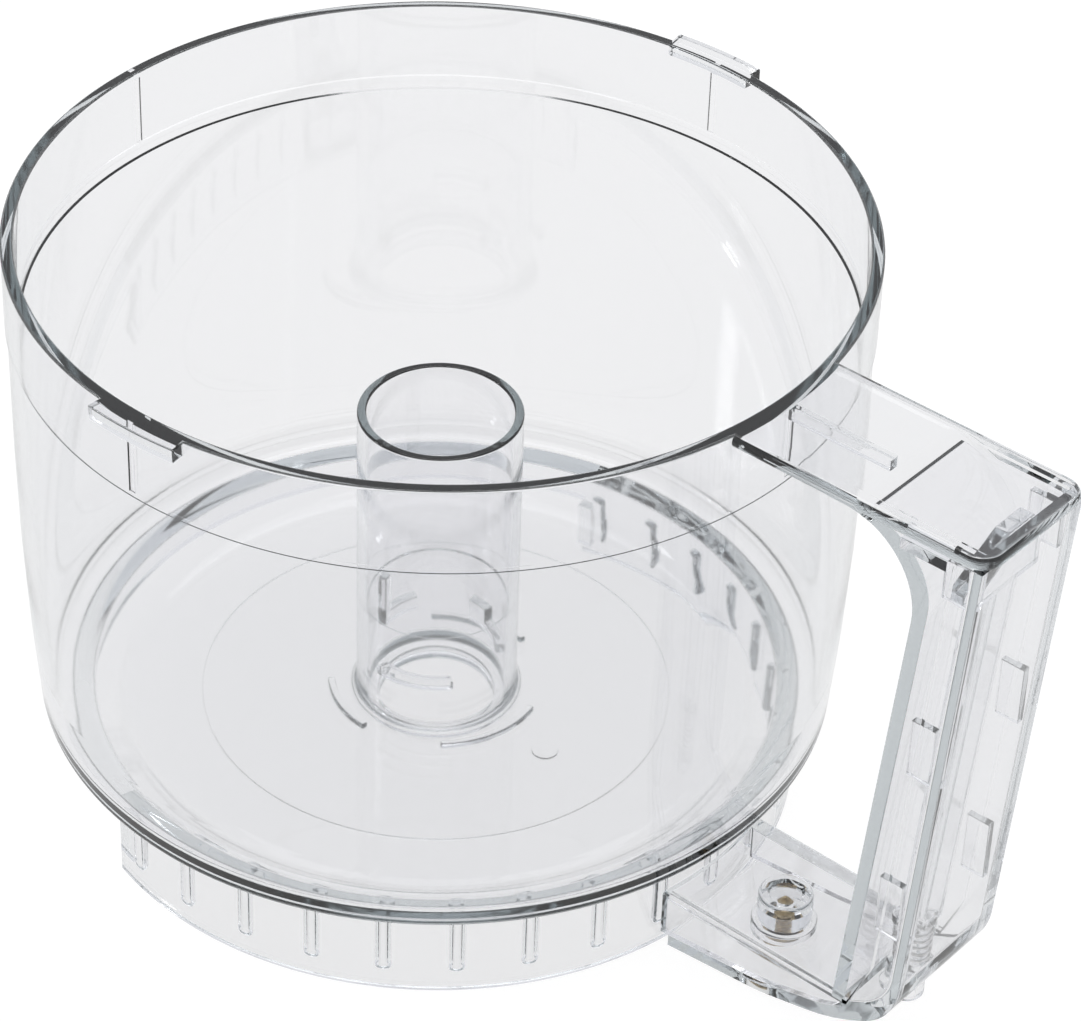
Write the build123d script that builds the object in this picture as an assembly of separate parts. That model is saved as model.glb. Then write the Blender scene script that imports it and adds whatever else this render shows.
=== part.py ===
from build123d import *
from math import cos, degrees, radians, sin
import os

# Work bowl of a small food processor: a clear bowl with a centre tube, a base skirt
# and a hollow D-shaped handle along +X. The origin is on the bowl's axis in the plane
# of the skirt's bottom edge, +Z is up, and all lengths are in millimetres.

# Driving dimensions of the bowl
rim_radius = 62.5
bowl_height = 96.2
wall = 1.9
band_height = 12.7
inner_band_height = 14.3
jog = 0.3
groove_width = 1.1
groove_top_gap = 1.5
groove_azimuths = (0, 90, 180, 270)
taper_start = 62.0
taper_z = 45.0
taper_radius = 61.95
split_z = 28.5
split_radius = 61.2
shoulder_z = 17.0
shoulder_radius = 60.4
shoulder_round = 1.2
floor_top = 13.5
floor_thick = 2.2
# Between the floor and the wall a sloped riser leads up to a ledge over the skirt
riser_foot = 47.0
riser_foot_under = 47.4
ledge_start = 54.1
ledge_top = 19.0
skirt_root_z = 16.1
inner_rounds = (8.0, 4.0, 1.5)
under_rounds = (6.0, 0.4)

# Skirt that drops over the motor base
skirt_radius = 55.7
skirt_wall = 2.0
socket_depth = 3.0
rib_radius = 1.2
rib_top = 13.0
rib_pitch = 11.25
ribs_each_side = 9
skirt_start = -105.5
skirt_end = 104.5
stop_span = 2.6
stop_depth = 2.2

# Centre tube: its bore narrows a little at the foot, where the ledges are
tube_radius = 12.3
tube_wall = 1.4
tube_top = 63.7
tube_foot_drop = 0.8
foot_bore = 10.6
foot_bore_top = 30.5
seat_ring_bore = 8.9
seat_ring_drop = 0.6
ledge_bore = 9.0
# Ledges and hooks inside the foot: low Z, high Z, start and end azimuth of each block
near_ledge = ((20.4, 22.0, -100, -36),)
left_hook = ((20.6, 23.0, 152, 196), (22.9, 30.0, 186, 196))
right_steps = ((19.4, 21.0, 38, 76), (19.4, 23.4, 74, 98))
# Low ridges on the floor round the tube: start and end azimuth
ridge_arcs = ((-135, -90), (-46, 15), (75, 135))
ridge_radius = 15.6
ridge_width = 1.1
ridge_height = 0.8

# Lugs for the lid, flush with the rim
lug_projection = 2.2
lug_thick = 2.3
lug_span = 13.8
near_lug = -88.4
far_lug = 91.0

# Handle
arm_thick = 2.0
arm_half_width = 11.7
arm_corner = 3.5
arm_start = 58.0
handle_end = 102.8
recess_depth = 0.5
recess_reach = 12.0
web_half_width = 0.8
web_drop = 1.8
grip_half_width = 11.3
grip_wall = 1.8
lower_roof = 9.8
lower_arm_overlap = 4.0
grip_foot = 18.0
channel_start = 82.0
channel_lap = 2.6
slot_x = (89.0, 96.4)
slot_z = (91.9, 93.6)
cover_floor = 2.0
cover_gap = 0.2
boss_x = 68.5
boss_radius = 4.1
boss_top = 10.8
boss_stand_off = 1.8
pilot_radius = 1.25
pilot_roof = 1.0
cup_wall = 0.8
tab_thick = 1.2
tab_reach = (-1.6, 2.3)
tab_bands = ((25.0, 35.0), (55.0, 64.5), (86.7, 93.0))

# Interlock rod and its spring
rod_x = 90.6
rod_radius = 1.5
rod_play = 0.08
rod_foot = 9.6
guide_wall = 1.2
spring_seat = 12.4
collar_radius = 2.2
collar_z = 20.2
collar_thick = 1.4
stem_half_width = 2.5
stem_foot_x = (90.2, 92.4)
stem_half_thick = 1.1
head_x = 96.6
head_thick = 4.8
head_half_width = 7.0
head_z = (84.5, 91.2)
ramp_rise = 2.4
ramp_end_y = 1.0
spring_radius = 1.95
spring_wire = 0.4
spring_turns = 6
spring_gap = 0.02

# Handle screw
screw_radius = 1.45
screw_head_radius = 3.0
screw_head_thick = 1.3
screw_sink = 0.3
screw_point = 1.6
screw_point_radius = 0.4
screw_end_gap = 1.6

floor_under = floor_top - floor_thick
tube_foot = floor_under - tube_foot_drop
body_radius = rim_radius - jog
band_z = bowl_height - band_height
skirt_bore = skirt_radius - skirt_wall
tube_bore = tube_radius - tube_wall
side_inner = grip_half_width - grip_wall
arm_under = bowl_height - arm_thick
far_away = 200.0
on_base = (Align.CENTER, Align.CENTER, Align.MIN)
under_top = (Align.CENTER, Align.CENTER, Align.MAX)


def web_face(z):
    """X of the grip's inner face, which leans out towards the top."""
    return 84.6 + 0.0895 * z


def cover_face(z):
    """X of the grip's outer face."""
    return 95.4 + 0.069 * z


def seam_face(z):
    """X of the joint between the channel and the cover."""
    return 90.1 + 0.078 * z


# Points of the handle's side outline, in X and Z
bend_low = (cover_face(22.0), 22.0)
bend_mid = (94.5, 11.9)
bend_end = (85.0, 4.5)
under_mid = (73.0, 1.75)
under_end = (56.0, 0.1)
joint_bend = (84.0, 6.6)
joint_end = (web_face(lower_roof) + grip_wall, 8.2)
web_top = (web_face(81.0), 81.0)
web_bend = (88.6, 90.9)
arm_bend = (79.5, arm_under)
hollow_arm = (84.1, arm_under)
hollow_bend = (89.9, 89.6)
cover_bend = (93.5, 12.9)


def turned(edges):
    """Turn a closed outline of the X-Z plane about the Z axis."""
    return revolve(make_face(Plane.XZ * Wire(edges)), Axis.Z)


def tube_ring(inner, outer, low, high):
    ring = Circle(outer) - Circle(inner)
    return extrude(Plane.XY.offset(low) * ring, high - low)


def sector(inner, outer, low, high, start, end):
    """A ring segment between two azimuths in degrees; 0 points along +X."""
    reach = outer * 1.5
    steps = 1 + int((end - start) / 45)
    wedge_points = [(0, 0)]
    for step in range(steps + 1):
        angle = radians(start + (end - start) * step / steps)
        wedge_points.append((reach * cos(angle), reach * sin(angle)))
    wedge = make_face(Polyline(*wedge_points, close=True))
    wedge = extrude(Plane.XY.offset(low) * wedge, high - low)
    return tube_ring(inner, outer, low, high) & wedge


def side_slab(outline, half_width):
    """Extrude an outline of the X-Z plane to the same width on both sides of Y = 0."""
    return extrude(Plane.XZ.offset(-half_width) * make_face(outline), 2 * half_width)


def box_between(low, high):
    size = [b - a for a, b in zip(low, high)]
    centre = [(a + b) / 2 for a, b in zip(low, high)]
    return Pos(*centre) * Box(*size)


def upright(x, low, high, radius):
    """A round post on the handle's centre plane."""
    return Pos(x, 0, low) * Cylinder(radius, high - low, align=on_base)


def make_bowl_wall():
    """Wall with a jog under the rim band, outside and inside, and four thin grooves in the band."""
    inner_band_z = bowl_height - inner_band_height
    inner_low = split_radius - wall
    edges = [
        Line((rim_radius, bowl_height), (rim_radius, band_z)),
        Line((rim_radius, band_z), (body_radius, band_z)),
        Line((body_radius, band_z), (body_radius, taper_start)),
        ThreePointArc((body_radius, taper_start), (taper_radius, taper_z), (split_radius, split_z)),
        Line((split_radius, split_z), (inner_low, split_z)),
        ThreePointArc((inner_low, split_z), (taper_radius - wall, taper_z),
                      (body_radius - wall, taper_start)),
        Line((body_radius - wall, taper_start), (body_radius - wall, inner_band_z)),
        Line((body_radius - wall, inner_band_z), (rim_radius - wall, inner_band_z)),
        Line((rim_radius - wall, inner_band_z), (rim_radius - wall, bowl_height)),
        Line((rim_radius - wall, bowl_height), (rim_radius, bowl_height)),
    ]
    shell = turned(edges)
    half_groove = degrees(groove_width / 2 / rim_radius)
    for azimuth in groove_azimuths:
        shell -= sector(body_radius, rim_radius + jog, band_z, bowl_height - groove_top_gap,
                        azimuth - half_groove, azimuth + half_groove)
    return shell


def make_bowl_floor():
    """Floor, riser, ledge over the skirt and shoulder, with a short collar under the tube."""
    inner_low = split_radius - wall
    inner_surface = FilletPolyline(
        (foot_bore, floor_top), (riser_foot, floor_top), (ledge_start, ledge_top),
        (shoulder_radius - wall, ledge_top), (inner_low, split_z), radius=inner_rounds)
    underside = FilletPolyline(
        (tube_radius, floor_under), (riser_foot_under, floor_under), (skirt_bore, skirt_root_z),
        (skirt_bore, floor_under), radius=under_rounds)
    edges = [
        *inner_surface.edges(),
        Line((inner_low, split_z), (split_radius, split_z)),
        Line((split_radius, split_z), (shoulder_radius, shoulder_z + shoulder_round)),
        Line((shoulder_radius, shoulder_z + shoulder_round),
             (shoulder_radius - shoulder_round, shoulder_z)),
        Line((shoulder_radius - shoulder_round, shoulder_z), (skirt_radius, shoulder_z)),
        Line((skirt_radius, shoulder_z), (skirt_radius, floor_under)),
        Line((skirt_radius, floor_under), (skirt_bore, floor_under)),
        *underside.edges(),
        Line((tube_radius, floor_under), (tube_radius, tube_foot)),
        Line((tube_radius, tube_foot), (foot_bore, tube_foot)),
        Line((foot_bore, tube_foot), (foot_bore, floor_top)),
    ]
    return turned(edges)


def make_base_skirt():
    """Skirt round the handle side of the bowl, left open at the back."""
    return sector(skirt_bore, skirt_radius, 0, floor_under, skirt_start, skirt_end)


def make_skirt_stops():
    """Thicker block inside each end of the skirt."""
    stops = []
    for start in (skirt_start, skirt_end - stop_span):
        stops.append(sector(skirt_bore - stop_depth, skirt_bore, socket_depth, floor_under,
                            start, start + stop_span).solid())
    return Compound(children=stops)


def make_skirt_ribs(stops):
    """Half-round ribs on the skirt's inner face, every 11.25 degrees each side of the handle."""
    inside = Cylinder(skirt_bore, rib_top, align=on_base)
    height = rib_top - socket_depth
    ribs = []
    for step in range(-ribs_each_side, ribs_each_side + 1):
        angle = radians(step * rib_pitch)
        rod = Cylinder(rib_radius, height, align=on_base)
        rod = Pos(skirt_bore * cos(angle), skirt_bore * sin(angle), socket_depth) * rod
        ribs.append(((rod & inside) - stops).solid())
    return Compound(children=ribs)


def make_drive_tube():
    """Tube on the floor, open at both ends, with the wider bore above the ledges."""
    return (tube_ring(foot_bore, tube_radius, floor_top, foot_bore_top)
            + tube_ring(tube_bore, tube_radius, foot_bore_top, tube_top))


def make_tube_seat():
    """Ledge ring, stepped ledges and hooks inside the foot of the centre tube."""
    pieces = [tube_ring(seat_ring_bore, foot_bore, tube_foot, floor_top - seat_ring_drop)]
    for blocks in (near_ledge, left_hook, right_steps):
        piece = sector(ledge_bore, foot_bore, *blocks[0])
        for block in blocks[1:]:
            piece += sector(ledge_bore, foot_bore, *block)
        pieces.append(piece)
    return Compound(children=[piece.solid() for piece in pieces])


def make_tube_foot_ridges():
    arcs = []
    for start, end in ridge_arcs:
        arcs.append(sector(ridge_radius, ridge_radius + ridge_width, floor_top,
                           floor_top + ridge_height, start, end).solid())
    return Compound(children=arcs)


def make_lid_lug(centre, bowl_wall):
    lug = sector(body_radius, rim_radius + lug_projection, bowl_height - lug_thick, bowl_height,
                 centre - lug_span / 2, centre + lug_span / 2)
    return lug - bowl_wall


def make_upper_arm():
    """Flat top plate with rounded outer corners, a lip round its end and a centre web."""
    plate = box_between((arm_start, -arm_half_width, arm_under),
                        (handle_end, arm_half_width, bowl_height))
    end_edges = plate.edges().filter_by(Axis.Z).sort_by(Axis.X)[-2:]
    plate = fillet(end_edges, arm_corner)
    plate -= box_between((seam_face(arm_under) - recess_reach, -side_inner, bowl_height - recess_depth),
                         (handle_end - grip_wall, side_inner, bowl_height))
    web = box_between((arm_start, -web_half_width, arm_under - web_drop),
                      (arm_bend[0], web_half_width, arm_under))
    return (plate + web) - Cylinder(rim_radius, bowl_height * 2)


def channel_outline():
    """Finger side of the grip, from the lower arm's roof to the upper arm."""
    foot_x = web_face(lower_roof)
    return Wire([
        Line((seam_face(arm_under), arm_under), arm_bend),
        ThreePointArc(arm_bend, web_bend, web_top),
        Line(web_top, (foot_x, lower_roof)),
        Line((foot_x, lower_roof), (foot_x + channel_lap, lower_roof)),
        Line((foot_x + channel_lap, lower_roof), (seam_face(grip_foot), grip_foot)),
        Line((seam_face(grip_foot), grip_foot), (seam_face(arm_under), arm_under)),
    ])


def channel_hollow():
    inner_top = (web_top[0] + grip_wall, web_top[1])
    inner_foot = web_face(lower_roof) + grip_wall
    return Wire([
        Line((handle_end, arm_under), hollow_arm),
        ThreePointArc(hollow_arm, hollow_bend, inner_top),
        Line(inner_top, (inner_foot, lower_roof)),
        Line((inner_foot, lower_roof), (inner_foot, 0)),
        Line((inner_foot, 0), (handle_end, 0)),
        Line((handle_end, 0), (handle_end, arm_under)),
    ])


def make_inner_channel():
    """Finger half of the grip, with the lid tab's slot in its near side wall."""
    body = side_slab(channel_outline(), grip_half_width)
    body -= side_slab(channel_hollow(), side_inner)
    body -= box_between((slot_x[0], -grip_half_width - wall, slot_z[0]),
                        (slot_x[1], -side_inner + wall, slot_z[1]))
    return body - box_between((0, -arm_half_width, 0), (channel_start, arm_half_width, bowl_height))


def cover_floor_top(x):
    """Height of the cover's floor under the straight part of the lower arm."""
    slope = (under_mid[1] - under_end[1]) / (under_mid[0] - under_end[0])
    return under_end[1] + cover_floor + slope * (x - under_end[0])


joint_mid = (under_mid[0], cover_floor_top(under_mid[0]))


def make_lower_arm():
    """Roof and side walls over the cover's floor, open underneath."""
    roof_end = web_face(lower_roof) + grip_wall
    start_x = skirt_radius - lower_arm_overlap
    outline = Polyline((start_x, cover_floor_top(start_x)), joint_mid, joint_bend, joint_end,
                       (roof_end, lower_roof), (start_x, lower_roof), close=True)
    body = side_slab(outline, grip_half_width)
    body -= box_between((start_x, -side_inner, 0), (roof_end + wall, side_inner, lower_roof - grip_wall))
    body -= Cylinder(skirt_radius, far_away)
    return body - upright(boss_x, 0, boss_top, boss_radius)


def make_screw_boss():
    """Round post through the lower arm's roof, with a blind pilot hole for the screw."""
    low = cover_floor_top(boss_x) + boss_stand_off
    boss = upright(boss_x, low, boss_top, boss_radius)
    return boss - upright(boss_x, low, boss_top - pilot_roof, pilot_radius)


def cover_outline():
    """Outer half of the grip and the floor of the lower arm."""
    foot_x = web_face(lower_roof)
    floor_end = (under_end[0], cover_floor_top(under_end[0]))
    return Wire([
        Line((seam_face(arm_under), arm_under), (cover_face(arm_under), arm_under)),
        Line((cover_face(arm_under), arm_under), bend_low),
        ThreePointArc(bend_low, bend_mid, bend_end),
        Line(bend_end, under_mid),
        Line(under_mid, under_end),
        Line(under_end, floor_end),
        Line(floor_end, joint_mid),
        Line(joint_mid, joint_bend),
        Line(joint_bend, joint_end),
        Line(joint_end, (joint_end[0], lower_roof)),
        Line((joint_end[0], lower_roof), (foot_x + channel_lap, lower_roof)),
        Line((foot_x + channel_lap, lower_roof), (seam_face(grip_foot), grip_foot)),
        Line((seam_face(grip_foot), grip_foot), (seam_face(arm_under), arm_under)),
    ])


def cover_hollow():
    inner_top = (cover_face(bowl_height) - grip_wall, bowl_height)
    inner_low = (bend_low[0] - grip_wall, bend_low[1])
    return Wire([
        Line(inner_top, inner_low),
        ThreePointArc(inner_low, cover_bend, joint_bend),
        Line(joint_bend, (channel_start, bowl_height)),
        Line((channel_start, bowl_height), inner_top),
    ])


def foot_envelope():
    """Outer outline of the lower arm and the grip's foot, filled in."""
    top = 40.0
    return Wire([
        Line((cover_face(top), top), bend_low),
        ThreePointArc(bend_low, bend_mid, bend_end),
        Line(bend_end, under_mid),
        Line(under_mid, under_end),
        Line(under_end, (under_end[0], top)),
        Line((under_end[0], top), (cover_face(top), top)),
    ])


def screw_seat_z():
    return cover_floor_top(boss_x) - cover_floor + screw_head_thick + screw_sink


def make_handle_cover():
    """Outer half of the grip and the floor of the lower arm, as one snap-on shell."""
    shell = side_slab(cover_outline(), grip_half_width) - side_slab(cover_hollow(), side_inner)
    shell -= Cylinder(skirt_radius + cover_gap, far_away)
    envelope = side_slab(foot_envelope(), grip_half_width)
    shell += upright(rod_x, 0, spring_seat, rod_radius + guide_wall) & envelope
    shell -= upright(rod_x, -wall, spring_seat + wall, rod_radius + rod_play)
    cup_top = cover_floor_top(boss_x) + boss_stand_off
    shell += upright(boss_x, 0, cup_top, boss_radius + cup_wall) & envelope
    shell -= upright(boss_x, 0, screw_seat_z(), screw_head_radius + screw_sink)
    return shell - upright(boss_x, 0, cup_top + wall, screw_radius + cover_gap)


def make_snap_tabs():
    """Tabs on the cover's side walls that snap into the channel."""
    tabs = []
    for low, high in tab_bands:
        seam_x = seam_face((low + high) / 2)
        for side in (-1, 1):
            y_pair = sorted((side * side_inner, side * (side_inner - tab_thick)))
            tabs.append(box_between((seam_x + tab_reach[0], y_pair[0], low),
                                    (seam_x + tab_reach[1], y_pair[1], high)))
    return Compound(children=[tab.solid() for tab in tabs])


def make_interlock_rod():
    """Flat rod inside the grip: ramped head, leaning stem, collar and round foot."""
    foot = upright(rod_x, rod_foot, collar_z, rod_radius)
    collar = upright(rod_x, collar_z, collar_z + collar_thick, collar_radius)
    stem_low = collar_z + jog
    stem_high = head_z[0] + wall
    stem = side_slab(Polyline(
        (stem_foot_x[0], stem_low), (stem_foot_x[1], stem_low), (head_x + stem_half_thick, stem_high),
        (head_x - stem_half_thick, stem_high), close=True), stem_half_width)
    ramp = Polyline(
        (-head_half_width, head_z[0]), (head_half_width, head_z[0]), (head_half_width, head_z[1]),
        (ramp_end_y, head_z[1]), (-head_half_width, head_z[0] + ramp_rise), close=True)
    head = extrude(Plane.YZ.offset(head_x - head_thick / 2) * make_face(ramp), head_thick)
    return foot + collar + stem + head


def make_return_spring():
    """Coil spring between the guide's top and the rod's collar."""
    coil_low = spring_seat + spring_wire / 2 + spring_gap
    coil_high = collar_z - spring_wire / 2 - spring_gap
    height = coil_high - coil_low
    path = Helix(height / spring_turns, height, spring_radius - spring_wire / 2)
    section = Plane(origin=path @ 0, z_dir=path % 0) * Circle(spring_wire / 2)
    return Pos(rod_x, 0, coil_low) * sweep(section, path)


def make_handle_screw():
    """Self-tapping screw from below, through the cover into the boss."""
    seat = screw_seat_z()
    shank_end = boss_top - screw_end_gap - screw_point
    head = Pos(boss_x, 0, seat) * Cylinder(screw_head_radius, screw_head_thick, align=under_top)
    shank = upright(boss_x, seat, shank_end, pilot_radius)
    point = Pos(boss_x, 0, shank_end) * Cone(pilot_radius, screw_point_radius, screw_point, align=on_base)
    return head + shank + point


def write(name, shape):
    export_step(shape, os.path.join("parts", name + ".step"))
    print(name, "volume %.0f mm3" % shape.volume)


os.makedirs("parts", exist_ok=True)
bowl_wall = make_bowl_wall()
skirt_stops = make_skirt_stops()
write("bowl_wall", bowl_wall)
write("bowl_floor", make_bowl_floor())
write("base_skirt", make_base_skirt())
write("skirt_stops", skirt_stops)
write("skirt_ribs", make_skirt_ribs(skirt_stops))
write("drive_tube", make_drive_tube())
write("tube_seat", make_tube_seat())
write("tube_foot_ridges", make_tube_foot_ridges())
write("lid_lug_near", make_lid_lug(near_lug, bowl_wall))
write("lid_lug_far", make_lid_lug(far_lug, bowl_wall))
write("handle_upper_arm", make_upper_arm())
write("handle_inner_channel", make_inner_channel())
write("handle_lower_arm", make_lower_arm())
write("screw_boss", make_screw_boss())
write("handle_cover", make_handle_cover())
write("cover_snap_tabs", make_snap_tabs())
write("interlock_rod", make_interlock_rod())
write("return_spring", make_return_spring())
write("handle_screw", make_handle_screw())
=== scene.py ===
from math import atan2, ceil, cos, degrees, pi, radians, sin, tan

import bmesh
import bpy
from mathutils import Matrix, Vector


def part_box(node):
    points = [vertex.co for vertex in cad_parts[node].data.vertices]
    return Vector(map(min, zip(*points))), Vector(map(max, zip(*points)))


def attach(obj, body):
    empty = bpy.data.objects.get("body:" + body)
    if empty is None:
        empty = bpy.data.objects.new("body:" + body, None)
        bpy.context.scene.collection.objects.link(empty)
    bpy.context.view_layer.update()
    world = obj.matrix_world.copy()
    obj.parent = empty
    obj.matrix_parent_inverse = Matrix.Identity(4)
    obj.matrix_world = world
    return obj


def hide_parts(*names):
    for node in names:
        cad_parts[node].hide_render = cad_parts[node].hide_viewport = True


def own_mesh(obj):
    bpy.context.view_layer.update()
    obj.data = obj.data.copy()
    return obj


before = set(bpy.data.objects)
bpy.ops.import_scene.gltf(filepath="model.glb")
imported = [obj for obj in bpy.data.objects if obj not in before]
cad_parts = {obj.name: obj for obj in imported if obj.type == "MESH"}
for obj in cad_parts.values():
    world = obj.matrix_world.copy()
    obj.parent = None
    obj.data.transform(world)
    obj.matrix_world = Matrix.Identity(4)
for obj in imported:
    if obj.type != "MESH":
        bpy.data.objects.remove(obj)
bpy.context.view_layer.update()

# Clear work bowl of a small food processor. Sizes in the dictionaries are millimetres,
# and every mesh is brought to metres when it is finished.
mm = 0.001


def nodeBox(node):
    low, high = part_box(node)
    return low / mm, high / mm


# shaping helpers
def roundedLoop(corners, stepAngle=12):
    # corners are (across, up, radius); a radius of 0 stays sharp
    points = []
    for index, (across, up, radius) in enumerate(corners):
        here = Vector((across, up))
        if radius == 0:
            points.append(here)
            continue
        back = (Vector(corners[index - 1][:2]) - here).normalized()
        ahead = (Vector(corners[(index + 1) % len(corners)][:2]) - here).normalized()
        half = back.angle(ahead) / 2
        centre = here + (back + ahead).normalized() * (radius / sin(half))
        first = here + back * (radius / tan(half)) - centre
        last = here + ahead * (radius / tan(half)) - centre
        turn = atan2(first.x * last.y - first.y * last.x, first.dot(last))
        steps = max(2, ceil(degrees(abs(turn)) / stepAngle))
        for step in range(steps + 1):
            points.append(centre + Matrix.Rotation(turn * step / steps, 2) @ first)
    return points


def makeObject(name, bm):
    bmesh.ops.remove_doubles(bm, verts=bm.verts[:], dist=0.0005)
    rims = [edge for edge in bm.edges if edge.is_boundary]
    if rims:
        bmesh.ops.holes_fill(bm, edges=rims, sides=0)
    bmesh.ops.recalc_face_normals(bm, faces=bm.faces[:])
    mesh = bpy.data.meshes.new(name)
    bm.to_mesh(mesh)
    bm.free()
    obj = bpy.data.objects.new(name, mesh)
    bpy.context.scene.collection.objects.link(obj)
    return obj


def softenEdges(bm, amount, chosen=None, steps=3, sharpAngle=25):
    edges = [edge for edge in bm.edges
             if len(edge.link_faces) == 2 and edge.calc_face_angle(0) > radians(sharpAngle)
             and (chosen is None or chosen(edge))]
    bmesh.ops.bevel(bm, geom=edges, offset=amount, offset_type="OFFSET", segments=steps, profile=0.5,
                    affect="EDGES", material=-1, clamp_overlap=True)


def turned(name, corners, steps=240):
    # a closed outline of radius and height, spun all the way round
    bm = bmesh.new()
    verts = [bm.verts.new((point.x, 0, point.y)) for point in roundedLoop(corners)]
    edges = [bm.edges.new((verts[i - 1], verts[i])) for i in range(len(verts))]
    bmesh.ops.spin(bm, geom=verts + edges, cent=(0, 0, 0), axis=(0, 0, 1), angle=2 * pi,
                   steps=steps, use_merge=True)
    return makeObject(name, bm)


def turnedPart(name, corners, start, end, soften=0, stepAngle=1.5):
    # the same outline spun between two directions in degrees
    bm = bmesh.new()
    verts = [bm.verts.new((point.x, 0, point.y)) for point in roundedLoop(corners)]
    face = bm.faces.new(verts)
    bmesh.ops.rotate(bm, verts=bm.verts[:], cent=(0, 0, 0), matrix=Matrix.Rotation(radians(start), 3, "Z"))
    steps = max(2, ceil((end - start) / stepAngle))
    bmesh.ops.spin(bm, geom=[face] + face.edges[:] + face.verts[:], cent=(0, 0, 0), axis=(0, 0, 1),
                   angle=radians(end - start), steps=steps)
    bmesh.ops.holes_fill(bm, edges=[edge for edge in bm.edges if edge.is_boundary], sides=0)
    bmesh.ops.recalc_face_normals(bm, faces=bm.faces[:])
    if soften:
        softenEdges(bm, soften)
    return makeObject(name, bm)


def slab(name, corners, low, high, soften=0, chosen=None, stepAngle=6):
    # an outline of X and Z pushed out along Y
    bm = bmesh.new()
    verts = [bm.verts.new((point.x, low, point.y)) for point in roundedLoop(corners, stepAngle)]
    face = bm.faces.new(verts)
    grown = bmesh.ops.extrude_face_region(bm, geom=[face])["geom"]
    moved = [item for item in grown if isinstance(item, bmesh.types.BMVert)]
    bmesh.ops.translate(bm, vec=(0, high - low, 0), verts=moved)
    bmesh.ops.recalc_face_normals(bm, faces=bm.faces[:])
    if soften:
        softenEdges(bm, soften, chosen)
    return makeObject(name, bm)


def plate(name, corners, low, high, soften=0, chosen=None):
    # an outline of X and Y pushed up along Z
    bm = bmesh.new()
    verts = [bm.verts.new((point.x, point.y, low)) for point in roundedLoop(corners, 9)]
    face = bm.faces.new(verts)
    grown = bmesh.ops.extrude_face_region(bm, geom=[face])["geom"]
    moved = [item for item in grown if isinstance(item, bmesh.types.BMVert)]
    bmesh.ops.translate(bm, vec=(0, 0, high - low), verts=moved)
    bmesh.ops.recalc_face_normals(bm, faces=bm.faces[:])
    if soften:
        softenEdges(bm, soften, chosen)
    return makeObject(name, bm)


def block(name, low, high, soften=0):
    corners = [(low[0], low[1], 0), (high[0], low[1], 0), (high[0], high[1], 0), (low[0], high[1], 0)]
    return plate(name, corners, low[2], high[2], soften)


def pin(name, x, y, low, high, radius, topRadius=None, soften=0, segments=48):
    bm = bmesh.new()
    bmesh.ops.create_cone(bm, cap_ends=True, segments=segments, radius1=radius,
                          radius2=radius if topRadius is None else topRadius, depth=high - low,
                          matrix=Matrix.Translation((x, y, (low + high) / 2)))
    if soften:
        softenEdges(bm, soften, sharpAngle=40)
    return makeObject(name, bm)


def combine(body, others, operation):
    group = bpy.data.collections.new("operands")
    for other in others:
        group.objects.link(other)
    change = body.modifiers.new("combine", "BOOLEAN")
    change.operation = operation
    change.operand_type = "COLLECTION"
    change.collection = group
    change.solver = "EXACT"
    applyModifiers(body)
    for other in others:
        bpy.data.objects.remove(other)
    bpy.data.collections.remove(group)
    return body


def applyModifiers(obj):
    graph = bpy.context.evaluated_depsgraph_get()
    mesh = bpy.data.meshes.new_from_object(obj.evaluated_get(graph))
    obj.modifiers.clear()
    obj.data = mesh


def finishPiece(obj, material, body, nodes, smoothAngle=38):
    # to metres, smooth but for the real edges, then onto its body
    bm = bmesh.new()
    bm.from_mesh(obj.data)
    bmesh.ops.remove_doubles(bm, verts=bm.verts[:], dist=0.002)
    bmesh.ops.dissolve_degenerate(bm, edges=bm.edges[:], dist=0.002)
    bmesh.ops.scale(bm, vec=(mm, mm, mm), verts=bm.verts[:])
    loose = sum(1 for edge in bm.edges if not edge.is_manifold)
    bm.to_mesh(obj.data)
    bm.free()
    obj.data.shade_smooth()
    obj.data.set_sharp_from_angle(angle=radians(smoothAngle))
    weigh = obj.modifiers.new("weigh", "WEIGHTED_NORMAL")
    weigh.mode = "FACE_AREA"
    weigh.keep_sharp = True
    applyModifiers(obj)
    obj.data.materials.clear()
    obj.data.materials.append(material)
    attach(obj, body)
    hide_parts(*nodes)
    print("made", obj.name, len(obj.data.polygons), "faces,", loose, "open edges")
    return obj


# materials
def addNode(tree, kind, **values):
    node = tree.nodes.new(kind)
    for name, value in values.items():
        if name in node.inputs:
            node.inputs[name].default_value = value
        else:
            setattr(node, name, value)
    return node


clearPlastic = {"colour": (0.982, 0.978, 0.986, 1), "ior": 1.57, "roughness": 0.03,
                "edgeTint": (0.42, 0.49, 0.51, 1), "edgeDensity": 36.0,
                "waveScale": 45.0, "waveDepth": 0.00001, "scratchScale": 260.0, "scratchRoughness": 0.09}


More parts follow.
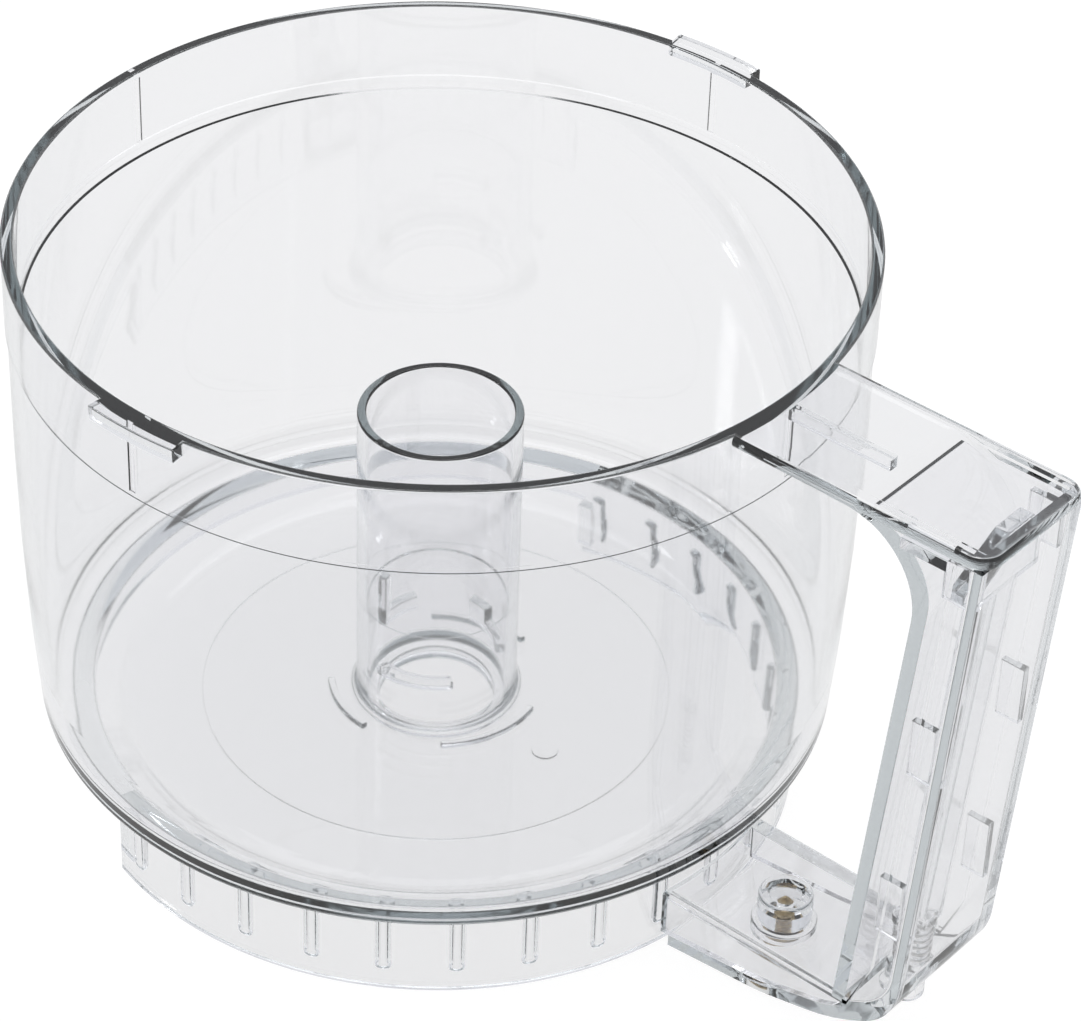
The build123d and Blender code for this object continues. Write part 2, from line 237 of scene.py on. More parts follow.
def makeClearPlastic(name, look):
    material = bpy.data.materials.new(name)
    material.use_nodes = True
    tree = material.node_tree
    shader = tree.nodes["Principled BSDF"]
    shader.inputs["Base Color"].default_value = look["colour"]
    shader.inputs["IOR"].default_value = look["ior"]
    shader.inputs["Transmission Weight"].default_value = 1.0
    place = addNode(tree, "ShaderNodeTexCoord")
    # slow moulding waves in the surface
    waves = addNode(tree, "ShaderNodeTexNoise", Scale=look["waveScale"], Detail=2.0, Roughness=0.4)
    tree.links.new(place.outputs["Object"], waves.inputs["Vector"])
    bump = addNode(tree, "ShaderNodeBump", Strength=1.0, Distance=look["waveDepth"])
    tree.links.new(waves.outputs["Fac"], bump.inputs["Height"])
    tree.links.new(bump.outputs["Normal"], shader.inputs["Normal"])
    # fine wash scratches, only in worn patches
    stretch = addNode(tree, "ShaderNodeMapping", Scale=(1.0, 0.12, 0.5), Rotation=(0.3, 0.2, 0.9))
    scratch = addNode(tree, "ShaderNodeTexVoronoi", feature="DISTANCE_TO_EDGE", Scale=look["scratchScale"])
    line = addNode(tree, "ShaderNodeMapRange")
    line.inputs["From Max"].default_value = 0.02
    line.inputs["To Min"].default_value = 1.0
    line.inputs["To Max"].default_value = 0.0
    patch = addNode(tree, "ShaderNodeTexNoise", Scale=30.0, Detail=3.0)
    worn = addNode(tree, "ShaderNodeMapRange")
    worn.inputs["From Min"].default_value = 0.5
    worn.inputs["From Max"].default_value = 0.75
    both = addNode(tree, "ShaderNodeMath", operation="MULTIPLY")
    rough = addNode(tree, "ShaderNodeMapRange")
    rough.inputs["To Min"].default_value = look["roughness"]
    rough.inputs["To Max"].default_value = look["scratchRoughness"]
    tree.links.new(place.outputs["Object"], stretch.inputs["Vector"])
    tree.links.new(stretch.outputs["Vector"], scratch.inputs["Vector"])
    tree.links.new(scratch.outputs["Distance"], line.inputs["Value"])
    tree.links.new(place.outputs["Object"], patch.inputs["Vector"])
    tree.links.new(patch.outputs["Fac"], worn.inputs["Value"])
    tree.links.new(line.outputs["Result"], both.inputs[0])
    tree.links.new(worn.outputs["Result"], both.inputs[1])
    tree.links.new(both.outputs["Value"], rough.inputs["Value"])
    tree.links.new(rough.outputs["Result"], shader.inputs["Roughness"])
    # the plastic's own blue-grey where light runs along a wall
    tint = addNode(tree, "ShaderNodeVolumeAbsorption", Color=look["edgeTint"], Density=look["edgeDensity"])
    tree.links.new(tint.outputs["Volume"], tree.nodes["Material Output"].inputs["Volume"])
    return material


screwSteel = {"bright": (0.62, 0.50, 0.30, 1), "stained": (0.30, 0.20, 0.10, 1), "roughness": 0.28}
springSteel = {"bright": (0.70, 0.70, 0.70, 1), "stained": (0.42, 0.41, 0.40, 1), "roughness": 0.22}


def makeSteel(name, look):
    material = bpy.data.materials.new(name)
    material.use_nodes = True
    tree = material.node_tree
    shader = tree.nodes["Principled BSDF"]
    shader.inputs["Metallic"].default_value = 1.0
    place = addNode(tree, "ShaderNodeTexCoord")
    stain = addNode(tree, "ShaderNodeTexNoise", Scale=900.0, Detail=4.0)
    ramp = addNode(tree, "ShaderNodeValToRGB")
    ramp.color_ramp.elements[0].position = 0.35
    ramp.color_ramp.elements[0].color = look["stained"]
    ramp.color_ramp.elements[1].position = 0.6
    ramp.color_ramp.elements[1].color = look["bright"]
    rough = addNode(tree, "ShaderNodeMapRange")
    rough.inputs["To Min"].default_value = look["roughness"] + 0.2
    rough.inputs["To Max"].default_value = look["roughness"]
    grain = addNode(tree, "ShaderNodeTexNoise", Scale=4000.0, Detail=2.0)
    bump = addNode(tree, "ShaderNodeBump", Strength=0.4, Distance=0.00002)
    tree.links.new(place.outputs["Object"], stain.inputs["Vector"])
    tree.links.new(stain.outputs["Fac"], ramp.inputs["Fac"])
    tree.links.new(ramp.outputs["Color"], shader.inputs["Base Color"])
    tree.links.new(stain.outputs["Fac"], rough.inputs["Value"])
    tree.links.new(rough.outputs["Result"], shader.inputs["Roughness"])
    tree.links.new(place.outputs["Object"], grain.inputs["Vector"])
    tree.links.new(grain.outputs["Fac"], bump.inputs["Height"])
    tree.links.new(bump.outputs["Normal"], shader.inputs["Normal"])
    return material


bowlMaterial = makeClearPlastic("clear_bowl", clearPlastic)
coverMaterial = makeClearPlastic("clear_cover", clearPlastic)
rodMaterial = makeClearPlastic("clear_rod", clearPlastic)
screwMaterial = makeSteel("screw_steel", screwSteel)
springMaterial = makeSteel("spring_steel", springSteel)
print("materials ready")


# bowl moulding
wallLow, wallHigh = nodeBox("bowl_wall")
floorLow = nodeBox("bowl_floor")[0]
skirtHigh = nodeBox("base_skirt")[1]
tubeHigh = nodeBox("drive_tube")[1]
ridgeLow = nodeBox("tube_foot_ridges")[0]
bowl = {"rim": wallHigh.x, "top": wallHigh.z, "wall": 1.9, "bandHeight": 12.7, "innerBandHeight": 14.3,
        "jog": 0.3, "split": wallLow.z, "splitRadius": 61.2, "taperBreak": 47.0, "taperRound": 555.0,
        "shoulder": 17.0, "shoulderRadius": 60.35, "shoulderRound": 1.2, "floorTop": ridgeLow.z,
        "floorUnder": skirtHigh.z, "rise": 47.0, "riseUnder": 47.4, "ledgeStart": 54.1, "ledge": 19.0,
        "skirtRoot": 16.1, "skirt": skirtHigh.x, "skirtWall": 2.0,
        "skirtStart": 104.5, "skirtEnd": 254.5, "tube": tubeHigh.x, "tubeWall": 1.4, "tubeTop": tubeHigh.z,
        "tubeFoot": floorLow.z, "edge": 0.35, "footBore": 10.6, "footBoreTop": 30.5,
        "floorRing": 36.0, "floorRingDepth": 0.12,
        "grooveWidth": 1.1, "grooveTopGap": 1.5}


def makeBowlBody():
    inner = bowl["rim"] - bowl["wall"]
    low = bowl["rim"] - bowl["jog"]
    band = bowl["top"] - bowl["bandHeight"]
    innerBand = bowl["top"] - bowl["innerBandHeight"]
    bore = bowl["tube"] - bowl["tubeWall"]
    edge = bowl["edge"]
    lean = tan((low - bowl["splitRadius"]) / (bowl["taperBreak"] - bowl["split"]))
    ledgeCorner = low - bowl["wall"] - lean * (bowl["taperBreak"] - bowl["ledge"])
    ring = bowl["floorRing"]
    corners = [
        (bowl["rim"], bowl["top"], edge),
        (bowl["rim"], band, 0.08),
        (low, band - 0.25, 0.08),
        (low, bowl["taperBreak"], bowl["taperRound"]),
        (bowl["splitRadius"], bowl["split"], 20),
        (bowl["shoulderRadius"], bowl["shoulder"], bowl["shoulderRound"]),
        (bowl["skirt"], bowl["shoulder"], 0.5),
        (bowl["skirt"], 0, edge),
        (bowl["skirt"] - bowl["skirtWall"], 0, edge),
        (bowl["skirt"] - bowl["skirtWall"], bowl["skirtRoot"], 0.4),
        (bowl["riseUnder"], bowl["floorUnder"], 6),
        (ring + 0.3, bowl["floorUnder"], 0),
        (ring, bowl["floorUnder"] + bowl["floorRingDepth"], 0),
        (ring - 0.3, bowl["floorUnder"], 0),
        (bowl["tube"], bowl["floorUnder"], 0.3),
        (bowl["tube"], bowl["tubeFoot"], 0.2),
        (bowl["footBore"], bowl["tubeFoot"], 0.2),
        (bowl["footBore"], bowl["footBoreTop"], 0.1),
        (bore, bowl["footBoreTop"] + 0.15, 0.1),
        (bore, bowl["tubeTop"], edge),
        (bowl["tube"], bowl["tubeTop"], edge),
        (bowl["tube"], bowl["floorTop"], 1.2),
        (bowl["rise"], bowl["floorTop"], 8),
        (bowl["ledgeStart"], bowl["ledge"], 4),
        (ledgeCorner, bowl["ledge"], 1.5),
        (low - bowl["wall"], bowl["taperBreak"], bowl["taperRound"]),
        (low - bowl["wall"], innerBand - 0.25, 0.08),
        (inner, innerBand, 0.08),
        (inner, bowl["top"], edge),
    ]
    return turned("bowl_moulding", corners)


def rimCuts():
    # the skirt is open at the back, and the band has four thin grooves
    skirtIn = bowl["skirt"] - bowl["skirtWall"] - 0.8
    back = turnedPart("back", [(skirtIn, -1, 0), (bowl["skirt"] + 1, -1, 0),
                               (bowl["skirt"] + 1, bowl["floorUnder"], 0), (skirtIn, bowl["floorUnder"], 0)],
                      bowl["skirtStart"], bowl["skirtEnd"])
    cuts = [back]
    half = degrees(bowl["grooveWidth"] / 2 / bowl["rim"])
    grooveBottom = bowl["top"] - bowl["bandHeight"] + 0.05
    for direction in (0, 90, 180, 270):
        cuts.append(turnedPart("groove", [
            (bowl["rim"] - bowl["jog"], grooveBottom, 0), (bowl["rim"] + 1, grooveBottom, 0),
            (bowl["rim"] + 1, bowl["top"] - bowl["grooveTopGap"], 0),
            (bowl["rim"] - bowl["jog"], bowl["top"] - bowl["grooveTopGap"], 0)],
            direction - half, direction + half))
    return cuts


lugs = {"project": 2.2, "thick": 2.3, "span": 13.8, "near": -88.4, "far": 91.0, "edge": 0.3}


def lidLugs():
    made = []
    inside = bowl["rim"] - 1.0
    outside = bowl["rim"] + lugs["project"]
    for centre in (lugs["near"], lugs["far"]):
        made.append(turnedPart("lug", [
            (inside, bowl["top"] - lugs["thick"], 0), (outside, bowl["top"] - lugs["thick"], 0),
            (outside, bowl["top"], 0), (inside, bowl["top"], 0)],
            centre - lugs["span"] / 2, centre + lugs["span"] / 2, soften=lugs["edge"]))
    return made


ribs = {"radius": 1.2, "pitch": 11.25, "eachSide": 9, "low": 3.0, "high": 13.0, "round": 0.9,
        "stopSpan": 2.6, "stopDepth": 2.2}


def skirtRibs():
    made = []
    bore = bowl["skirt"] - bowl["skirtWall"]
    for step in range(-ribs["eachSide"], ribs["eachSide"] + 1):
        direction = radians(step * ribs["pitch"])
        made.append(pin("rib", bore * cos(direction), bore * sin(direction), ribs["low"],
                        ribs["high"], ribs["radius"], soften=ribs["round"], segments=20))
    for start in (bowl["skirtEnd"] - 360, bowl["skirtStart"] - ribs["stopSpan"]):
        made.append(turnedPart("stop", [
            (bore - ribs["stopDepth"], ribs["low"], 0.4), (bore + 0.8, ribs["low"], 0),
            (bore + 0.8, bowl["floorUnder"], 0), (bore - ribs["stopDepth"], bowl["floorUnder"], 0)],
            start + 0.05, start + ribs["stopSpan"] - 0.05))
    return made


seat = {"ringBore": 8.9, "ringTop": 12.9, "ledgeBore": 9.0, "sink": 0.7, "edge": 0.25,
        "nearLedge": (20.4, 22.0, -100, -36), "leftHook": (20.6, 23.0, 152, 196),
        "leftUpright": (22.6, 30.0, 186, 196), "rightStep": (19.4, 21.0, 38, 76),
        "rightHook": (19.4, 23.4, 74, 98)}


def tubeSeat():
    outer = bowl["footBore"] + seat["sink"]
    ring = seat["ringBore"]
    made = [turned("seatRing", [(ring, bowl["tubeFoot"], 0.2), (outer, bowl["tubeFoot"], 0),
                                (outer, seat["ringTop"], 0), (ring, seat["ringTop"], 0.4)], 96)]
    for key in ("nearLedge", "leftHook", "leftUpright", "rightStep", "rightHook"):
        low, high, start, end = seat[key]
        made.append(turnedPart(key, [(seat["ledgeBore"], low, 0), (outer, low, 0),
                                     (outer, high, 0), (seat["ledgeBore"], high, 0)],
                               start, end, soften=seat["edge"], stepAngle=4))
    return made


foot = {"radius": 15.6, "width": 1.1, "height": 0.8, "gate": (23.5, -1.8, 2.0), "gateHeight": 0.18}


def footRidges():
    made = []
    for start, end in ((-135, -90), (-46, 15), (75, 135)):
        made.append(turnedPart("ridge", [
            (foot["radius"], bowl["floorTop"] - 0.5, 0), (foot["radius"] + foot["width"], bowl["floorTop"] - 0.5, 0),
            (foot["radius"] + foot["width"], bowl["floorTop"] + foot["height"], 0),
            (foot["radius"], bowl["floorTop"] + foot["height"], 0)],
            start, end, soften=0.3, stepAngle=3))
    x, y, radius = foot["gate"]
    made.append(pin("gate", x, y, bowl["floorTop"] - 0.5, bowl["floorTop"] + foot["gateHeight"], radius,
                    soften=0.12, segments=32))
    return made


# handle
armHigh = nodeBox("handle_upper_arm")[1]
gripHigh = nodeBox("handle_inner_channel")[1]
bossLow, bossHigh = nodeBox("screw_boss")
handle = {"thick": 2.0, "halfWidth": armHigh.y, "end": armHigh.x, "corner": 3.5, "edge": 0.8,
          "gripHalf": gripHigh.y, "wall": 1.8, "roof": 9.8, "recess": 0.5, "recessInset": 1.8, "recessReach": 9.0, "recessRise": 6.0,
          "webHalf": 0.8, "webDrop": 1.8, "gripEdge": 2.4, "fingerRound": 12.2, "hollowRound": 10.4,
          "seamGap": 0.06, "slot": (89.0, 96.4, 91.9, 93.6), "coverFloor": 2.0}


def webX(z):
    return 84.6 + 0.0895 * z


def coverX(z):
    return 95.4 + 0.069 * z


def seamX(z):
    return 90.1 + 0.078 * z


armUnder = bowl["top"] - handle["thick"]


def upperArm():
    start = bowl["rim"] - 8
    half = handle["halfWidth"]
    arm = plate("arm", [(start, -half, 0), (handle["end"], -half, handle["corner"]),
                        (handle["end"], half, handle["corner"]), (start, half, 0)],
                armUnder, bowl["top"], soften=handle["edge"])
    sideIn = handle["gripHalf"] - handle["wall"]
    recessFloor = bowl["top"] - handle["recess"]
    recessEnd = handle["end"] - handle["recessInset"]
    recessStart = seamX(armUnder) - handle["recessReach"]
    recess = slab("recess", [(recessStart, recessFloor, 30), (recessEnd, recessFloor, 0.3),
                             (recessEnd, bowl["top"] + 1, 0),
                             (recessStart - handle["recessRise"] * 3, bowl["top"] + 1, 0)], -sideIn, sideIn)
    web = block("web", (start, -handle["webHalf"], armUnder - handle["webDrop"]),
                (79.5, handle["webHalf"], armUnder + 0.5), 0.25)
    combine(arm, [web], "UNION")
    bore = pin("bore", 0, 0, 0, bowl["top"] * 2, bowl["rim"] - 0.9, segments=240)
    return combine(arm, [recess, bore], "DIFFERENCE")


def onSide(edge):
    # an edge of the outline on one of the two outer side faces
    first, second = edge.verts
    return abs(first.co.y - second.co.y) < 1e-4


def innerChannel():
    top = armUnder + 0.6
    corner = armUnder + 0.06
    roof = handle["roof"]
    channel = slab("channel", [
        (77.0, top, 0), (seamX(top), top, 0), (seamX(18.0), 18.0, 0), (webX(roof) + 2.6, roof - 0.8, 0),
        (webX(roof), roof - 0.8, 0), (webX(corner), corner, handle["fingerRound"]), (77.0, corner, 0)],
        -handle["gripHalf"], handle["gripHalf"], handle["gripEdge"],
        lambda edge: onSide(edge) and max(vert.co.x - webX(vert.co.z) for vert in edge.verts) < 0.3
        and max(vert.co.z for vert in edge.verts) < armUnder - 0.5)
    sideIn = handle["gripHalf"] - handle["wall"]
    hollowX = handle["wall"]
    hollow = slab("hollow", [
        (110.0, top + 2, 0), (110.0, -2, 0), (webX(roof) + hollowX, -2, 0), (webX(roof) + hollowX, roof, 0),
        (webX(armUnder) + hollowX, armUnder, handle["hollowRound"]), (84.0, armUnder, 0), (84.0, top + 2, 0)],
        -sideIn, sideIn, 0.5)
    left, right, low, high = handle["slot"]
    slot = block("slot", (left, -handle["gripHalf"] - 1, low), (right, -sideIn + 1, high))
    return combine(channel, [hollow, slot], "DIFFERENCE")


under = {"bendTop": 22.0, "bendRound": 16.0, "corner": (95.6, 8.4), "end": (56.0, 0.1), "middle": (73.0, 1.75),
         "rise": (85.0, 4.5), "jointBend": (84.0, 6.6), "jointEndZ": 8.2}


def jointZ(x):
    # top of the cover's floor, along the straight part of the lower arm
    return under["end"][1] + handle["coverFloor"] + (x - under["end"][0]) * (
        (under["middle"][1] - under["end"][1]) / (under["middle"][0] - under["end"][0]))


def lowerArm():
    start = bowl["skirt"] - 3.0
    roof = handle["roof"]
    roofEnd = webX(roof) + handle["wall"]
    arm = slab("lowerArm", [
        (start, jointZ(start), 0), (under["middle"][0], under["middle"][1] + handle["coverFloor"], 30),
        (*under["jointBend"], 12), (roofEnd, under["jointEndZ"], 0), (roofEnd, roof, 0), (start, roof, 0)],
        -handle["gripHalf"], handle["gripHalf"], 0.7,
        lambda edge: onSide(edge) and min(vert.co.z for vert in edge.verts) > roof - 0.1)
    sideIn = handle["gripHalf"] - handle["wall"]
    hollow = block("armHollow", (start - 1, -sideIn, -2), (roofEnd + 1, sideIn, roof - handle["wall"]), 0.5)
    bore = pin("skirtBore", 0, 0, -5, 40, bowl["skirt"] - 0.9, segments=240)
    return combine(arm, [hollow, bore], "DIFFERENCE")


boss = {"x": (bossLow.x + bossHigh.x) / 2, "radius": 4.1, "top": bossHigh.z, "bottom": bossLow.z,
        "pilot": 1.25, "pilotTop": 1.0, "pinRadius": 1.3}


def screwBoss():
    post = pin("boss", boss["x"], 0, boss["bottom"], boss["top"], boss["radius"], soften=0.5)
    pilot = pin("pilot", boss["x"], 0, boss["bottom"] - 1, boss["top"] - boss["pilotTop"], boss["pilot"])
    dish = pin("dish", boss["x"], 0, boss["top"] - 0.5, boss["top"] + 0.5, 2.4, 3.1)
    return combine(post, [pilot, dish], "DIFFERENCE")


bowlNodes = ("bowl_wall", "bowl_floor", "base_skirt", "skirt_stops", "skirt_ribs", "drive_tube",
             "tube_seat", "tube_foot_ridges", "lid_lug_near", "lid_lug_far", "handle_upper_arm",
             "handle_inner_channel", "handle_lower_arm", "screw_boss")
moulding = makeBowlBody()
print("bowl body turned")
combine(moulding, rimCuts(), "DIFFERENCE")
print("skirt opened, grooves cut")
additions = lidLugs() + skirtRibs() + tubeSeat() + footRidges()
additions += [upperArm(), innerChannel(), lowerArm(), screwBoss()]
combine(moulding, additions, "UNION")
finishPiece(moulding, bowlMaterial, "bowl", bowlNodes)


# handle cover
rodLow = nodeBox("interlock_rod")[0]
springLow, springHigh = nodeBox("return_spring")
cover = {"tabThick": 1.2, "tabs": ((25.0, 35.0), (55.0, 64.5), (86.7, 93.0)), "cup": 4.9, "cupLift": 1.8,
         "guide": 2.7, "rodHole": 1.58, "rodX": (springLow.x + springHigh.x) / 2, "seatTop": springLow.z,
         "headHole": 3.3, "screwHole": 1.65, "edge": 2.4}


def handleCover():
    gap = handle["seamGap"]
    top = armUnder - gap
    roof = handle["roof"]
    half = handle["gripHalf"]
    outline = [
        (seamX(top) + gap, top, 0), (coverX(top), top, 0), (coverX(10.3), 10.3, 11.5),
        (*under["rise"], 30), (*under["middle"], 30), (*under["end"], 0),
        (under["end"][0], jointZ(under["end"][0]) - gap, 0),
        (under["middle"][0], under["middle"][1] + handle["coverFloor"] - gap, 30),
        (under["jointBend"][0], under["jointBend"][1] - gap, 12),
        (webX(roof) + handle["wall"] + gap, under["jointEndZ"] - gap, 0),
        (webX(roof) + handle["wall"] + gap, roof - gap, 0), (webX(roof) + 2.6 + gap, roof - gap, 0),
        (seamX(18.0) + gap, 18.0, 0)]
    shell = slab("handle_cover_shell", outline, -half, half, cover["edge"],
                 lambda edge: onSide(edge) and min(coverX(vert.co.z) - vert.co.x for vert in edge.verts) < 0.3
                 and min(vert.co.z for vert in edge.verts) > 12)
    sideIn = half - handle["wall"]
    hollow = slab("coverHollow", [
        (coverX(armUnder + 3) - handle["wall"], armUnder + 3, 0), (coverX(12.4) - handle["wall"], 12.4, 9.5),
        (under["jointBend"][0], under["jointBend"][1] + 0.15, 0), (80.0, armUnder + 3, 0)], -sideIn, sideIn, 0.5)
    skirtBore = pin("skirtBore", 0, 0, -5, 40, bowl["skirt"] + 0.2, segments=240)
    combine(shell, [hollow, skirtBore], "DIFFERENCE")
    guideLow, cupLow = 5.6, 1.2
    cupTop = jointZ(boss["x"]) + cover["cupLift"]
    extras = [
        pin("guide", cover["rodX"], 0, guideLow, cover["seatTop"], cover["guide"], soften=0.3),
        pin("cup", boss["x"], 0, cupLow + 0.8, cupTop, cover["cup"], soften=0.3)]
    for low, high in cover["tabs"]:
        middle = (low + high) / 2
        for side in (-1, 1):
            sides = sorted((side * (sideIn + 0.4), side * (sideIn - cover["tabThick"])))
            extras.append(block("tab", (seamX(middle) + 0.4, sides[0], low),
                                (seamX(middle) + 2.3, sides[1], high), 0.15))
            inner = sorted((side * (sideIn - 0.05), side * (sideIn - cover["tabThick"])))
            extras.append(block("tabTip", (seamX(middle) - 1.6, inner[0], low),
                                (seamX(middle) + 0.8, inner[1], high), 0.15))
    combine(shell, extras, "UNION")
    screwTop = jointZ(boss["x"]) - handle["coverFloor"] + 1.6
    holes = [
        pin("rodHole", cover["rodX"], 0, -5, cover["seatTop"] + 5, cover["rodHole"]),
        pin("headHole", boss["x"], 0, -3, screwTop, cover["headHole"]),
        pin("screwHole", boss["x"], 0, -3, cupTop + 3, cover["screwHole"]),
        pin("cupBore", boss["x"], 0, jointZ(boss["x"]) - 0.02, cupTop + 3, boss["radius"] + 0.12)]
    combine(shell, holes, "DIFFERENCE")
    return finishPiece(shell, coverMaterial, "bowl", ("handle_cover", "cover_snap_tabs"))


handleCover()


# interlock rod, spring and screw
rod = {"foot": 1.5, "collar": 2.2, "collarZ": 20.2, "collarThick": 1.4, "stemHalf": 2.5, "headX": 96.6,
       "headLow": 84.5, "headHigh": 91.2, "headHalf": 7.0, "headThick": 2.4}


def interlockRod():
    x = cover["rodX"]
    piece = pin("interlock_rod_body", x, 0, rodLow.z, rod["collarZ"] + 0.2, rod["foot"], soften=0.35)
    stemLow = rod["collarZ"] + 0.3
    head = rod["headX"]
    collar = pin("collar", x, 0, rod["collarZ"], rod["collarZ"] + rod["collarThick"], rod["collar"], soften=0.3)
    stem = slab("stem", [(x - 0.4, stemLow, 0), (x + 1.8, stemLow, 0), (head + 1.1, rod["headLow"] + 1, 0),
                         (head - 1.1, rod["headLow"] + 1, 0)], -rod["stemHalf"], rod["stemHalf"], 0.3)
    bm = bmesh.new()
    ramp = roundedLoop([(-rod["headHalf"], rod["headLow"], 0.4), (rod["headHalf"], rod["headLow"], 0.4),
                        (rod["headHalf"], rod["headHigh"], 0.8), (1.0, rod["headHigh"], 1.5),
                        (-rod["headHalf"], rod["headLow"] + 2.4, 0.8)], 15)
    face = bm.faces.new([bm.verts.new((head - rod["headThick"] / 2, p.x, p.y)) for p in ramp])
    grown = bmesh.ops.extrude_face_region(bm, geom=[face])["geom"]
    bmesh.ops.translate(bm, vec=(rod["headThick"], 0, 0),
                        verts=[item for item in grown if isinstance(item, bmesh.types.BMVert)])
    bmesh.ops.recalc_face_normals(bm, faces=bm.faces[:])
    softenEdges(bm, 0.3)
    rampHead = makeObject("rampHead", bm)
    combine(piece, [collar, stem, rampHead], "UNION")
    return finishPiece(piece, rodMaterial, "rod", ("interlock_rod",))


def coil(name, x, radius, wire, low, high, turns, steps=36, sides=10):
    # a helix of one ring spun and lifted, with capped ends
    bm = bmesh.new()
    bmesh.ops.create_circle(bm, cap_ends=True, segments=sides, radius=wire)
    bmesh.ops.rotate(bm, verts=bm.verts[:], cent=(0, 0, 0), matrix=Matrix.Rotation(pi / 2, 3, "X"))
    bmesh.ops.translate(bm, verts=bm.verts[:], vec=(radius, 0, low))
    face = bm.faces[:][0]
    count = int(turns * steps)
    bmesh.ops.spin(bm, geom=[face] + face.edges[:] + face.verts[:], cent=(0, 0, 0), axis=(0, 0, 1),
                   dvec=(0, 0, (high - low) / count), angle=2 * pi * turns, steps=count)
    bmesh.ops.translate(bm, verts=bm.verts[:], vec=(x, 0, 0))
    return makeObject(name, bm)


spring = {"wire": 0.2, "turns": 6, "travel": 3.0}


def returnSpring():
    wire = spring["wire"]
    radius = (springHigh.y - springLow.y) / 2 - wire
    piece = coil("return_spring_coil", cover["rodX"], radius, wire, springLow.z + wire, springHigh.z - wire, spring["turns"])
    finishPiece(piece, springMaterial, "bowl", ("return_spring",), 60)
    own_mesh(piece)


screwLow, screwHigh = nodeBox("handle_screw")
screw = {"head": 3.0, "headThick": 1.3, "shank": 1.0, "thread": 1.25, "pitch": 1.1, "tip": 1.6, "slot": 0.45}


def handleScrew():
    x = boss["x"]
    seatZ = screwLow.z + screw["headThick"]
    piece = pin("handle_screw_body", x, 0, screwLow.z, seatZ, screw["head"], screw["head"], soften=0.45)
    shank = pin("shank", x, 0, seatZ - 0.3, screwHigh.z - screw["tip"], screw["shank"], segments=24)
    tip = pin("tip", x, 0, screwHigh.z - screw["tip"] - 0.02, screwHigh.z, screw["shank"], 0.25, segments=24)
    threads = []
    z = seatZ + 0.9
    while z < screwHigh.z - screw["tip"]:
        threads.append(pin("thread", x, 0, z, z + 0.3, screw["shank"] - 0.1, screw["thread"], segments=32))
        threads.append(pin("thread", x, 0, z + 0.28, z + 0.6, screw["thread"], screw["shank"] - 0.1, segments=32))
        z += screw["pitch"]
    combine(piece, [shank, tip] + threads, "UNION")
    cross = []
    for turn in (0, 90):
        arm = block("cross", (-1.7, -screw["slot"], screwLow.z - 1), (1.7, screw["slot"], screwLow.z + 0.75))
        arm.data.transform(Matrix.Translation((x, 0, 0)) @ Matrix.Rotation(radians(turn), 4, "Z"))
        cross.append(arm)
    combine(piece, cross, "DIFFERENCE")
    return finishPiece(piece, screwMaterial, "bowl", ("handle_screw",), 35)


interlockRod()
returnSpring()
handleScrew()


# stage, light and camera
# the floor glows evenly to the camera; its second, dimmer glow is painted shade on all that is seen through the
# plastic
stage = {"floorSize": 4.0, "floorGlow": 0.93, "floorGlowDimmedAsPaintedShade": 0.80, "floorColour": (0.14, 0.14, 0.14, 1),
         "horizon": (1.0, 1.0, 1.0, 1), "ceiling": (0.84, 0.85, 0.88, 1)}


def makeFloor():
    bm = bmesh.new()
    bmesh.ops.create_grid(bm, x_segments=1, y_segments=1, size=stage["floorSize"])
    mesh = bpy.data.meshes.new("floor")
    bm.to_mesh(mesh)
    bm.free()
    floor = bpy.data.objects.new("floor", mesh)
    bpy.context.scene.collection.objects.link(floor)
    material = bpy.data.materials.new("pale_floor")
    material.use_nodes = True
    shader = material.node_tree.nodes["Principled BSDF"]
    shader.inputs["Base Color"].default_value = stage["floorColour"]
    shader.inputs["Roughness"].default_value = 0.9
    shader.inputs["Specular IOR Level"].default_value = 0.0
    shader.inputs["Emission Color"].default_value = (1, 1, 1, 1)
    # painted shade: camera rays see the full floor glow, every other ray gets the dimmer glow, so the plastic and
    # its skirt come out greyer
    path = addNode(material.node_tree, "ShaderNodeLightPath")
    glow = addNode(material.node_tree, "ShaderNodeMapRange")
    glow.inputs["To Min"].default_value = stage["floorGlowDimmedAsPaintedShade"]
    glow.inputs["To Max"].default_value = stage["floorGlow"]
    material.node_tree.links.new(path.outputs["Is Camera Ray"], glow.inputs["Value"])
    material.node_tree.links.new(glow.outputs["Result"], shader.inputs["Emission Strength"])
    mesh.materials.append(material)


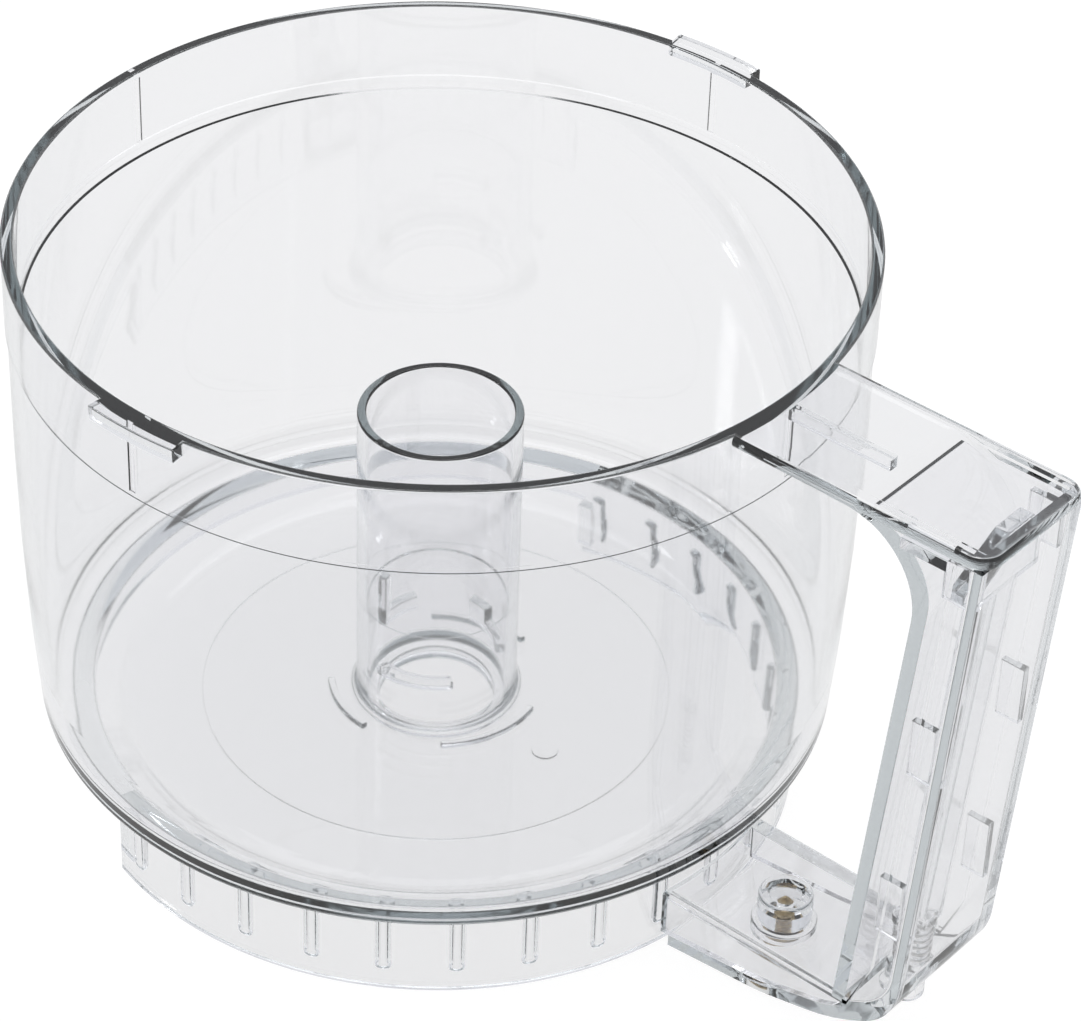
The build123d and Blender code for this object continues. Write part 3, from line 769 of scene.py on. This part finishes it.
def makeWorld():
    world = bpy.data.worlds.new("studio")
    bpy.context.scene.world = world
    world.use_nodes = True
    tree = world.node_tree
    place = addNode(tree, "ShaderNodeTexCoord")
    split = addNode(tree, "ShaderNodeSeparateXYZ")
    ramp = addNode(tree, "ShaderNodeValToRGB")
    ramp.color_ramp.elements[0].position = 0.12
    ramp.color_ramp.elements[0].color = stage["horizon"]
    ramp.color_ramp.elements[1].position = 0.45
    ramp.color_ramp.elements[1].color = stage["ceiling"]
    tree.links.new(place.outputs["Generated"], split.inputs["Vector"])
    tree.links.new(split.outputs["Z"], ramp.inputs["Fac"])
    tree.links.new(ramp.outputs["Color"], tree.nodes["Background"].inputs["Color"])


def softbox(name, place, aim, size, watts):
    light = bpy.data.lights.new(name, "AREA")
    light.shape = "RECTANGLE"
    light.size, light.size_y = size
    light.energy = watts
    obj = bpy.data.objects.new(name, light)
    bpy.context.scene.collection.objects.link(obj)
    obj.location = place
    obj.rotation_euler = (Vector(aim) - Vector(place)).to_track_quat("-Z", "Y").to_euler()


view = {"place": (0.31170, -0.35668, 0.40919), "heading": 129.32, "pitch": 37.50, "roll": 2.08, "lens": 133.2}


def makeCamera():
    camera = bpy.data.cameras.new("camera")
    camera.lens = view["lens"]
    camera.sensor_width = 36
    camera.sensor_fit = "HORIZONTAL"
    camera.clip_start = 0.01
    obj = bpy.data.objects.new("camera", camera)
    bpy.context.scene.collection.objects.link(obj)
    turn = (Matrix.Rotation(radians(view["heading"] - 90), 4, "Z")
            @ Matrix.Rotation(radians(90 - view["pitch"]), 4, "X")
            @ Matrix.Rotation(radians(view["roll"]), 4, "Z"))
    obj.matrix_world = Matrix.Translation(view["place"]) @ turn
    bpy.context.scene.camera = obj


makeFloor()
makeWorld()
makeCamera()
softbox("overhead", (-0.25, 0.35, 1.1), (0, 0, 0.05), (0.5, 0.9), 1.6)
softbox("left", (-0.9, -0.7, 0.7), (0, 0, 0.05), (0.12, 0.5), 1.5)

scene = bpy.context.scene
scene.view_settings.view_transform = "Standard"
scene.view_settings.look = "None"
scene.cycles.max_bounces = 28
scene.cycles.transmission_bounces = 28
scene.cycles.glossy_bounces = 12
scene.cycles.diffuse_bounces = 3
scene.cycles.sample_clamp_indirect = 6.0
print("stage ready")
